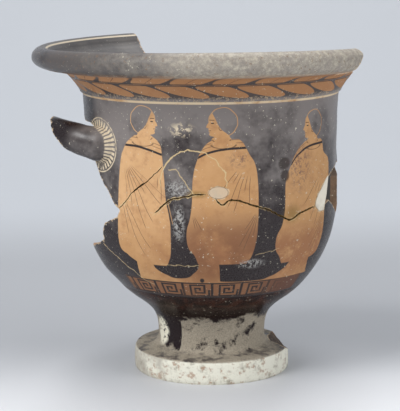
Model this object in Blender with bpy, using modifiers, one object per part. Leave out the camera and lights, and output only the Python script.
"""A broken and mended red-figure bell krater: a thrown clay mixing bowl on a stemmed foot.

The vessel was thrown, joined and fired as one piece: foot, stem, bowl, flared neck, thick
lip and handle. About half of the lip, the back wall, the left flank and all but one stump
of the handles are lost. Two modern plaster fills close small losses in the front wall.

Metres, +Z up. The origin is the centre of the foot's underside, and -Y is the front.
Azimuth is counted from the front, in degrees, and grows towards the right hand side (+X).
"""

import math

import bmesh
import bpy
from mathutils import Vector

# Foot and stem
FOOT_RADIUS = 0.0788
FOOT_HEIGHT = 0.0238
FOOT_EDGE_ROUND = 0.0016
FOOT_TOP_RISE = 0.0022
FOOT_RING_WIDTH = 0.0140
FOOT_HOLLOW_HEIGHT = 0.0620
STEM_RADIUS = 0.0545
STEM_COLLAR = 0.0025
STEM_TOP = 0.0500

# Bowl
FLOOR_HEIGHT = 0.0770
BODY_RADIUS = 0.1257
BODY_BASE = 0.1600
NECK_RADIUS = 0.1284
NECK_HEIGHT = 0.2868
WALL = 0.0065

# Flared neck and lip
NECK_STEP = 0.0026
FLARE_RADIUS = 0.1465
FLARE_HEIGHT = 0.0235
LIP_RADIUS = 0.1785
LIP_WIDTH = 0.0180
LIP_DEPTH = 0.0215
LIP_RISE = 0.0277
TOTAL_HEIGHT = NECK_HEIGHT + FLARE_HEIGHT + LIP_RISE

# The rim was pulled out of true in firing: it rises to the right, falls to the back,
# sags towards both sides by a share of its half width and sits low as a whole
RIM_RISE_RIGHT = math.tan(math.radians(0.3))
RIM_RISE_BACK = -math.tan(math.radians(1.0))
RIM_SAG = 0.0200
RIM_DROP = 0.0041
LEVEL_SHARE = 0.5900

# Handle stump: a round loop handle, broken off where it turned back
HANDLE_RADIUS = 0.0140
HANDLE_DROP = 0.0475
HANDLE_HEIGHT = NECK_HEIGHT - HANDLE_DROP
HANDLE_AZIMUTH = -58.5
HANDLE_REACH = 0.0600
HANDLE_RISE = 0.0160
HANDLE_SWEEP = 0.0490
HANDLE_ROOT_DEPTH = 0.0030
HANDLE_BREAK_REACH = 0.0470

# Clearance between the fired clay and the plaster fills
FIT_GAP = 0.0003

# Facets
TURN_STEPS = 64
BREAK_STEP_DEGREES = 4.0

# How far the cutters reach past the clay
CUT_REACH = 0.0300

# The breaks and fills below are corners of (azimuth in degrees, share of the neck's height)

# The lost back
BACK_LOW = (
    (52.6, 1.1088), (58.0, 1.0948), (66.5, 1.0791), (70.0, 1.0722), (73.0, 1.0635),
    (76.0, 1.0530), (82.0, 1.0373), (88.0, 1.0234), (93.0, 1.0042), (97.0, 0.9658),
    (101.0, 0.9205), (108.0, 0.8647), (113.5, 0.8124), (117.0, 0.8124), (121.0, 0.7252),
    (134.0, 0.6590), (149.0, 0.6067), (167.0, 0.5579), (184.0, 0.5230), (198.0, 0.5300),
    (208.4, 0.5230),
)
FLANK_LOW = (
    (-157.0, 0.5195), (-151.6, 0.5230), (-141.0, 0.4916), (-131.0, 0.4637), (-121.0, 0.4428),
    (-112.0, 0.4324), (-103.0, 0.4289), (-96.0, 0.4358), (-90.0, 0.4446), (-83.0, 0.4515),
    (-76.0, 0.4603), (-70.0, 0.4721), (-64.7, 0.4833), (-59.0, 0.5056), (-58.6, 0.5380),
    (-55.7, 0.5662), (-51.5, 0.5795), (-46.4, 0.5969), (-44.6, 0.6206),
)
FLANK_HIGH = (
    (-157.0, 1.0425), (-151.6, 1.0460), (-143.0, 1.0042), (-132.0, 0.9798), (-121.0, 0.9414),
    (-108.0, 0.9344), (-97.0, 0.9031), (-88.0, 0.9100), (-77.0, 0.8971), (-64.4, 0.8926),
    (-64.2, 0.7768), (-61.3, 0.7479), (-58.9, 0.7197), (-53.6, 0.6858), (-49.7, 0.6527),
    (-44.6, 0.6276),
)

# The hole in the right flank
HOLE_LOW = (
    (60.4, 0.6224), (61.7, 0.6224), (65.9, 0.6297), (70.4, 0.6137), (75.8, 0.5927), (82.0, 0.5683),
    (87.2, 0.5579), (88.1, 0.6834), (92.0, 0.6939), (99.0, 0.7078), (104.0, 0.7165),
)
HOLE_HIGH = (
    (60.4, 0.6381), (61.7, 0.6625), (63.4, 0.6834), (65.2, 0.7078), (68.6, 0.7211),
    (73.5, 0.7305), (84.0, 0.7385), (96.0, 0.7357), (104.0, 0.7235),
)

# The side fill beside the hole, round its edge, and the oval fill on the front
SIDE_FILL = (
    (53.3, 0.6318), (53.9, 0.6206), (56.6, 0.6032), (60.6, 0.6015), (61.5, 0.6224),
    (63.3, 0.6485), (64.5, 0.6817), (65.5, 0.7113), (64.6, 0.7155), (62.3, 0.7043),
    (59.7, 0.6869), (57.8, 0.6750), (55.6, 0.6625), (53.9, 0.6444),
)
OVAL_FILL_AZIMUTH = 2.8
OVAL_FILL_HEIGHT = 0.7015
OVAL_FILL_WIDTH = 0.0180
OVAL_FILL_TALL = 0.0112

# The flake lost from the foot's edge: azimuth, radius of its inner line, height at the edge
FLAKE = (
    (70.5, 0.0795, 0.0240), (78.0, 0.0690, 0.0205), (86.0, 0.0602, 0.0170),
    (95.0, 0.0590, 0.0140), (106.0, 0.0610, 0.0125), (118.0, 0.0690, 0.0170),
    (127.0, 0.0795, 0.0240),
)

CLAY = ("fired_clay", (0.075, 0.062, 0.058, 1.0), 0.32)
PLASTER = ("plaster", (0.80, 0.74, 0.60, 1.0), 0.80)


def collection(name, shown):
    """A collection in the scene, hidden from renders where it holds cutters."""
    made = bpy.data.collections.new(name)
    made.hide_render = not shown
    bpy.context.scene.collection.children.link(made)
    return made


def material(name, colour, roughness):
    """A plain principled material."""
    made = bpy.data.materials.new(name)
    made.use_nodes = True
    shader = made.node_tree.nodes["Principled BSDF"]
    shader.inputs["Base Color"].default_value = colour
    shader.inputs["Roughness"].default_value = roughness
    shader.inputs["Metallic"].default_value = 0.0
    return made


def add_object(name, data, group):
    """Links a new object in a collection."""
    made = bpy.data.objects.new(name, data)
    group.objects.link(made)
    return made


def around(azimuth, radius, height):
    """The point at an azimuth from the front, a distance from the axis and a height."""
    turn = math.radians(azimuth)
    return Vector((radius * math.sin(turn), -radius * math.cos(turn), height))


def value_at(line, place):
    """The height of a line of (azimuth, height) corners at an azimuth."""
    for (start, low), (end, high) in zip(line, line[1:]):
        if start <= place <= end:
            share = (place - start) / max(end - start, 1e-6)
            return low + (high - low) * share
    return line[0][1] if place < line[0][0] else line[-1][1]


def on_wall(line):
    """A line's corners with their heights in metres."""
    return [(azimuth, share * NECK_HEIGHT) for azimuth, share in line]


def rising(line):
    """The line's corners in order of azimuth, so that it has one height at each."""
    return sorted(line)


def smooth_run(corners, steps):
    """Points along a smooth curve through the corners, with a number of steps for each span."""
    ends = [corners[0], *corners, corners[-1]]
    points = []
    for before, start, end, after in zip(ends, ends[1:], ends[2:], ends[3:]):
        for step in range(steps):
            t = step / steps
            weights = (
                -0.5 * t + t * t - 0.5 * t**3,
                1 - 2.5 * t * t + 1.5 * t**3,
                0.5 * t + 2 * t * t - 1.5 * t**3,
                -0.5 * t * t + 0.5 * t**3,
            )
            points.append(tuple(
                sum(w * p[axis] for w, p in zip(weights, (before, start, end, after)))
                for axis in (0, 1)
            ))
    return points + [corners[-1]]


def between(start, end, shares):
    """Corners between two (radius, height) points, at (height share, radius share) pairs."""
    return [
        (start[0] + (end[0] - start[0]) * across, start[1] + (end[1] - start[1]) * up)
        for up, across in shares
    ]


def inset(points, depth):
    """A run of outer points moved square to itself towards the inside of the bowl."""
    moved = []
    for k, (radius, height) in enumerate(points):
        near = points[max(k - 1, 0)]
        far = points[min(k + 1, len(points) - 1)]
        along = Vector((far[0] - near[0], far[1] - near[1])).normalized()
        moved.append((radius - along.y * depth, height + along.x * depth))
    return moved


def bowl_run():
    """The outside of the bowl, from the stem's top up to the neck."""
    stem = (STEM_RADIUS + 0.0008, STEM_TOP)
    base = (BODY_RADIUS, BODY_BASE)
    turn = between(stem, base, (
        (0.0, 0.0), (0.11, 0.075), (0.20, 0.22), (0.29, 0.415),
        (0.41, 0.60), (0.58, 0.787), (0.78, 0.925), (1.0, 1.0),
    ))
    wall = between(base, (NECK_RADIUS, NECK_HEIGHT), ((0.36, 0.06), (0.72, 0.40), (1.0, 1.0)))
    return smooth_run(turn + wall, 2)


def lip_section():
    """The lip and the flared neck, from the neck's step up, over the lip and down inside."""
    step = (NECK_RADIUS + NECK_STEP, NECK_HEIGHT + 0.0020)
    throat = (FLARE_RADIUS, NECK_HEIGHT + FLARE_HEIGHT)
    flare = smooth_run(between(step, throat, ((0.0, 0.0), (0.50, 0.44), (1.0, 1.0))), 2)
    half_width, half_depth = LIP_WIDTH / 2, LIP_DEPTH / 2
    centre = (LIP_RADIUS - half_width, TOTAL_HEIGHT - half_depth)
    roll = [
        (centre[0] + half_width * math.cos(math.radians(turn)),
         centre[1] + half_depth * math.sin(math.radians(turn)))
        for turn in (-62, -30, 0, 28, 56, 84, 112, 140, 168)
    ]
    underside = between(throat, roll[0], ((0.30, 0.45),))
    inner_edge = roll[-1]
    inner_flare = inset(flare, WALL)
    inside = smooth_run([inner_edge, *reversed(inner_flare[1::2])], 1)
    return flare + underside + roll + inside[1:]


def section():
    """The whole section from the floor's centre, up inside, over the lip and down outside."""
    bowl = bowl_run()
    floor_edge = 8
    inner_wall = inset(bowl, WALL)[floor_edge:-1]
    floor = smooth_run([(0.0, FLOOR_HEIGHT), (0.5 * inner_wall[0][0], FLOOR_HEIGHT + 0.0006),
                        inner_wall[0]], 2)[:-1]
    lip = lip_section()
    foot_top = FOOT_HEIGHT + FOOT_TOP_RISE
    collar = (STEM_RADIUS + STEM_COLLAR, foot_top)
    stem = smooth_run([(STEM_RADIUS + 0.0008, STEM_TOP), (STEM_RADIUS, 0.5 * (STEM_TOP + foot_top)),
                       collar], 2)
    edge = FOOT_EDGE_ROUND
    foot = [
        (FOOT_RADIUS - 0.0010 - edge, FOOT_HEIGHT), (FOOT_RADIUS - 0.0010, FOOT_HEIGHT - edge),
        (FOOT_RADIUS, 0.40 * FOOT_HEIGHT), (FOOT_RADIUS - 0.0004, edge), (FOOT_RADIUS - edge, 0.0),
    ]
    ring_edge = FOOT_RADIUS - FOOT_RING_WIDTH
    hollow = smooth_run([(ring_edge, 0.0), *between((ring_edge, 0.0), (0.0, FOOT_HOLLOW_HEIGHT), (
        (0.20, 0.14), (0.52, 0.34), (0.86, 0.60), (0.99, 0.86), (1.0, 1.0)))], 1)
    return floor + inner_wall + lip[::-1] + bowl[::-1] + stem[1:] + foot + hollow


def turned_vessel(name, group):
    """The unbroken vessel, turned from its section, with the rim pulled out of level."""
    mesh = bpy.data.meshes.new(name)
    points = section()
    mesh.from_pydata(
        [(radius, 0.0, height) for radius, height in points], [(k, k + 1) for k in range(len(points) - 1)], []
    )
    profile = add_object(name + "_profile", mesh, group)
    screw = profile.modifiers.new("turn", "SCREW")
    screw.steps = screw.render_steps = TURN_STEPS
    screw.use_merge_vertices = True
    screw.merge_threshold = 0.00001
    bpy.context.view_layer.update()
    turned = bpy.data.meshes.new_from_object(
        profile.evaluated_get(bpy.context.evaluated_depsgraph_get())
    )
    bpy.data.objects.remove(profile)
    for vertex in turned.vertices:
        vertex.co.z += rim_shift(vertex.co)
    turned.name = name
    return add_object(name, turned, group)


def rim_shift(point):
    """How far firing moved a point up or down: nothing low on the wall, most at the lip."""
    share = (point.z / TOTAL_HEIGHT - LEVEL_SHARE) / (1.0 - LEVEL_SHARE)
    share = min(max(share, 0.0), 1.0)
    sag = RIM_SAG * point.x * point.x / LIP_RADIUS + RIM_DROP
    return (RIM_RISE_RIGHT * point.x + RIM_RISE_BACK * point.y - sag) * share * share


def closed_mesh(name, points, faces):
    """A closed mesh whose faces point outwards."""
    mesh = bpy.data.meshes.new(name)
    mesh.from_pydata(points, [], faces)
    shape = bmesh.new()
    shape.from_mesh(mesh)
    bmesh.ops.recalc_face_normals(shape, faces=shape.faces)
    shape.to_mesh(mesh)
    shape.free()
    return mesh


def wall_block(name, low, high, inner, outer, group):
    """A block through the wall between two lines of (azimuth, height)."""
    low, high = rising(low), rising(high)
    start, end = low[0][0], low[-1][0]
    places = {corner[0] for corner in (*low, *high)}
    count = max(1, round((end - start) / BREAK_STEP_DEGREES))
    places |= {start + (end - start) * k / count for k in range(count + 1)}
    points, faces = [], []
    for place in sorted(places):
        bottom, top = value_at(low, place), value_at(high, place)
        points += [around(place, inner, bottom), around(place, outer, bottom),
                   around(place, outer, top), around(place, inner, top)]
    last = len(points) - 4
    faces += [(0, 1, 2, 3), (last, last + 3, last + 2, last + 1)]
    for first in range(0, last, 4):
        faces += [
            (first + side, first + (side + 1) % 4, first + 4 + (side + 1) % 4, first + 4 + side)
            for side in range(4)
        ]
    return add_object(name, closed_mesh(name, points, faces), group)


def grown(outline, margin):
    """An (azimuth, height) outline, anticlockwise from outside, moved outwards by a margin."""
    flat = [Vector((math.radians(azimuth) * BODY_RADIUS, height)) for azimuth, height in outline]
    moved = []
    for before, here, after in zip(flat[-1:] + flat[:-1], flat, flat[1:] + flat[:1]):
        first, second = (here - before).normalized(), (after - here).normalized()
        normal = Vector((first.y + second.y, -first.x - second.x)).normalized()
        corner = max(normal.dot(Vector((first.y, -first.x))), 0.5)
        place = here + normal * margin / corner
        moved.append((math.degrees(place.x / BODY_RADIUS), place.y))
    return moved


def wall_plug(name, outline, margin, group):
    """A small plug straight through the wall, with an outline grown by a margin."""
    corners = grown(outline, margin)
    count = len(corners)
    points = [around(azimuth, radius, height)
              for radius in (0.80 * BODY_RADIUS, 1.20 * BODY_RADIUS)
              for azimuth, height in corners]
    faces = [tuple(range(count)), tuple(range(2 * count - 1, count - 1, -1))]
    faces += [(k, (k + 1) % count, count + (k + 1) % count, count + k) for k in range(count)]
    return add_object(name, closed_mesh(name, points, faces), group)


def oval_fill():
    """The outline of the oval fill, anticlockwise from outside."""
    half_turn = math.degrees(OVAL_FILL_WIDTH / 2 / BODY_RADIUS)
    turns = [math.radians(20.0 * k) for k in range(18)]
    return [
        (OVAL_FILL_AZIMUTH + half_turn * math.cos(turn),
         OVAL_FILL_HEIGHT * NECK_HEIGHT + 0.5 * OVAL_FILL_TALL * math.sin(turn))
        for turn in turns
    ]


def handle_path():
    """The handle's centreline, from inside the wall out, up and round towards the back."""
    root = around(HANDLE_AZIMUTH, BODY_RADIUS - HANDLE_ROOT_DEPTH, HANDLE_HEIGHT)
    # Shares of the reach, the sweep towards the back and the rise, with the radius there
    stations = (
        (-0.25, 0.00, 0.00, 1.45), (0.000, 0.00, 0.00, 1.45), (0.123, -0.03, 0.06, 1.23),
        (0.257, 0.00, 0.21, 1.11), (0.423, 0.10, 0.43, 1.05), (0.590, 0.27, 0.63, 1.00),
        (0.740, 0.47, 0.79, 0.96), (0.873, 0.72, 0.90, 0.93), (1.000, 1.00, 1.00, 0.90),
    )
    return [
        (root + Vector((-HANDLE_REACH * reach, HANDLE_SWEEP * sweep, HANDLE_RISE * rise)), size)
        for reach, sweep, rise, size in stations
    ]


def handle_break(group):
    """A block past the face where the handle snapped off."""
    facing = Vector((-0.76, 0.30, -0.58)).normalized()
    side = facing.cross(Vector((0.0, 0.0, 1.0))).normalized()
    up = side.cross(facing)
    root = handle_path()[1][0]
    touch = root + Vector((-HANDLE_BREAK_REACH, 0.50 * HANDLE_SWEEP, 0.45 * HANDLE_RISE))
    span = 4.0 * HANDLE_RADIUS
    points = [
        touch + facing * (0.0 if near else span) + side * span * a + up * span * b
        for near in (True, False) for a, b in ((-1, -1), (1, -1), (1, 1), (-1, 1))
    ]
    faces = [(0, 1, 2, 3), (7, 6, 5, 4)]
    faces += [(k, k + 4, (k + 1) % 4 + 4, (k + 1) % 4) for k in range(4)]
    return add_object("handle_break", closed_mesh("handle_break", points, faces), group)


def handle_core(group):
    """The round core that ends the handle's root inside the wall."""
    turn = [360.0 * k / TURN_STEPS for k in range(TURN_STEPS)]
    reach = BODY_RADIUS - HANDLE_ROOT_DEPTH
    low, high = HANDLE_HEIGHT - 4.0 * HANDLE_RADIUS, HANDLE_HEIGHT + 4.0 * HANDLE_RADIUS
    points = [around(azimuth, reach, level) for level in (low, high) for azimuth in turn]
    faces = [tuple(range(TURN_STEPS)), tuple(range(TURN_STEPS, 2 * TURN_STEPS))[::-1]]
    for k in range(TURN_STEPS):
        after = (k + 1) % TURN_STEPS
        faces.append((k, k + TURN_STEPS, after + TURN_STEPS, after))
    return add_object("handle_core", closed_mesh("handle_core", points, faces), group)


def handle_stump(group):
    """The handle as a mesh made from a curve with a round section."""
    curve = bpy.data.curves.new("handle_line", "CURVE")
    curve.dimensions = "3D"
    curve.bevel_depth = HANDLE_RADIUS
    curve.bevel_resolution = 4
    curve.use_fill_caps = True
    path = handle_path()
    spline = curve.splines.new("POLY")
    spline.points.add(len(path) - 1)
    for point, (place, size) in zip(spline.points, path):
        point.co = (*place, 1.0)
        point.radius = size
    line = add_object("handle_line", curve, group)
    bpy.context.view_layer.update()
    mesh = bpy.data.meshes.new_from_object(line.evaluated_get(bpy.context.evaluated_depsgraph_get()))
    bpy.data.objects.remove(line)
    shape = bmesh.new()
    shape.from_mesh(mesh)
    bmesh.ops.remove_doubles(shape, verts=shape.verts, dist=0.00001)
    bmesh.ops.triangulate(shape, faces=shape.faces)
    bmesh.ops.recalc_face_normals(shape, faces=shape.faces)
    shape.to_mesh(mesh)
    shape.free()
    return add_object("handle_stump", mesh, group)


def foot_flake(group):
    """A block over the foot's edge, whose underside follows the flake lost there."""
    foot_top = FOOT_HEIGHT + FOOT_TOP_RISE
    points, faces = [], []
    for azimuth, inner, edge in FLAKE:
        low = foot_top - 0.0004 if inner < FOOT_RADIUS else FOOT_HEIGHT
        points += [around(azimuth, inner, low), around(azimuth, FOOT_RADIUS + 0.004, edge - 0.0015),
                   around(azimuth, FOOT_RADIUS + 0.004, 0.0400), around(azimuth, inner, 0.0400)]
    last = len(points) - 4
    faces += [(0, 1, 2, 3), (last, last + 3, last + 2, last + 1)]
    for first in range(0, last, 4):
        faces += [
            (first + side, first + (side + 1) % 4, first + 4 + (side + 1) % 4, first + 4 + side)
            for side in range(4)
        ]
    return add_object("foot_flake", closed_mesh("foot_flake", points, faces), group)


def combine(target, other, operation):
    """Adds an exact Boolean with another object."""
    step = target.modifiers.new(other.name, "BOOLEAN")
    step.operation = operation
    step.object = other
    step.solver = "EXACT"


def hide(cutter):
    """Marks an object as a cutter."""
    cutter.hide_render = True
    cutter.display_type = "WIRE"


def finish(piece, made):
    """Gives a piece its material and shades its turned faces smooth."""
    piece.data.materials.clear()
    piece.data.materials.append(made)
    piece.data.shade_smooth()
    piece.data.set_sharp_from_angle(angle=math.radians(35))


def main():
    """Builds the broken vessel and the two plaster fills."""
    for old in list(bpy.data.objects):
        bpy.data.objects.remove(old)
    parts = collection("bell_krater", True)
    cutters = collection("cutters", False)
    clay, plaster = material(*CLAY), material(*PLASTER)

    krater = turned_vessel("krater", parts)
    inner, outer = 0.5 * BODY_RADIUS, LIP_RADIUS + CUT_REACH
    over_top = TOTAL_HEIGHT + CUT_REACH
    back_low = rising(on_wall(BACK_LOW))
    back_high = [(back_low[0][0], over_top), (back_low[-1][0], over_top)]
    wall_reach = NECK_RADIUS + CUT_REACH
    losses = [
        wall_block("lost_back", back_low, back_high, inner, outer, cutters),
        wall_block("lost_flank", on_wall(FLANK_LOW), on_wall(FLANK_HIGH), inner, wall_reach, cutters),
        wall_block("hole", on_wall(HOLE_LOW), on_wall(HOLE_HIGH), inner, wall_reach, cutters),
        foot_flake(cutters),
    ]
    for name, outline in (("plaster_side_fill", on_wall(SIDE_FILL)), ("plaster_oval_fill", oval_fill())):
        fill = wall_plug(name, outline, 0.0, parts)
        body = turned_vessel(name + "_body", cutters)
        hide(body)
        combine(fill, body, "INTERSECT")
        finish(fill, plaster)
        losses.append(wall_plug(name + "_seat", outline, FIT_GAP, cutters))
    for loss in losses:
        hide(loss)
        combine(krater, loss, "DIFFERENCE")
    stump = handle_stump(cutters)
    snapped, core = handle_break(cutters), handle_core(cutters)
    for tool in (stump, snapped, core):
        hide(tool)
    combine(stump, snapped, "DIFFERENCE")
    combine(stump, core, "DIFFERENCE")
    combine(krater, stump, "UNION")
    finish(krater, clay)


main()
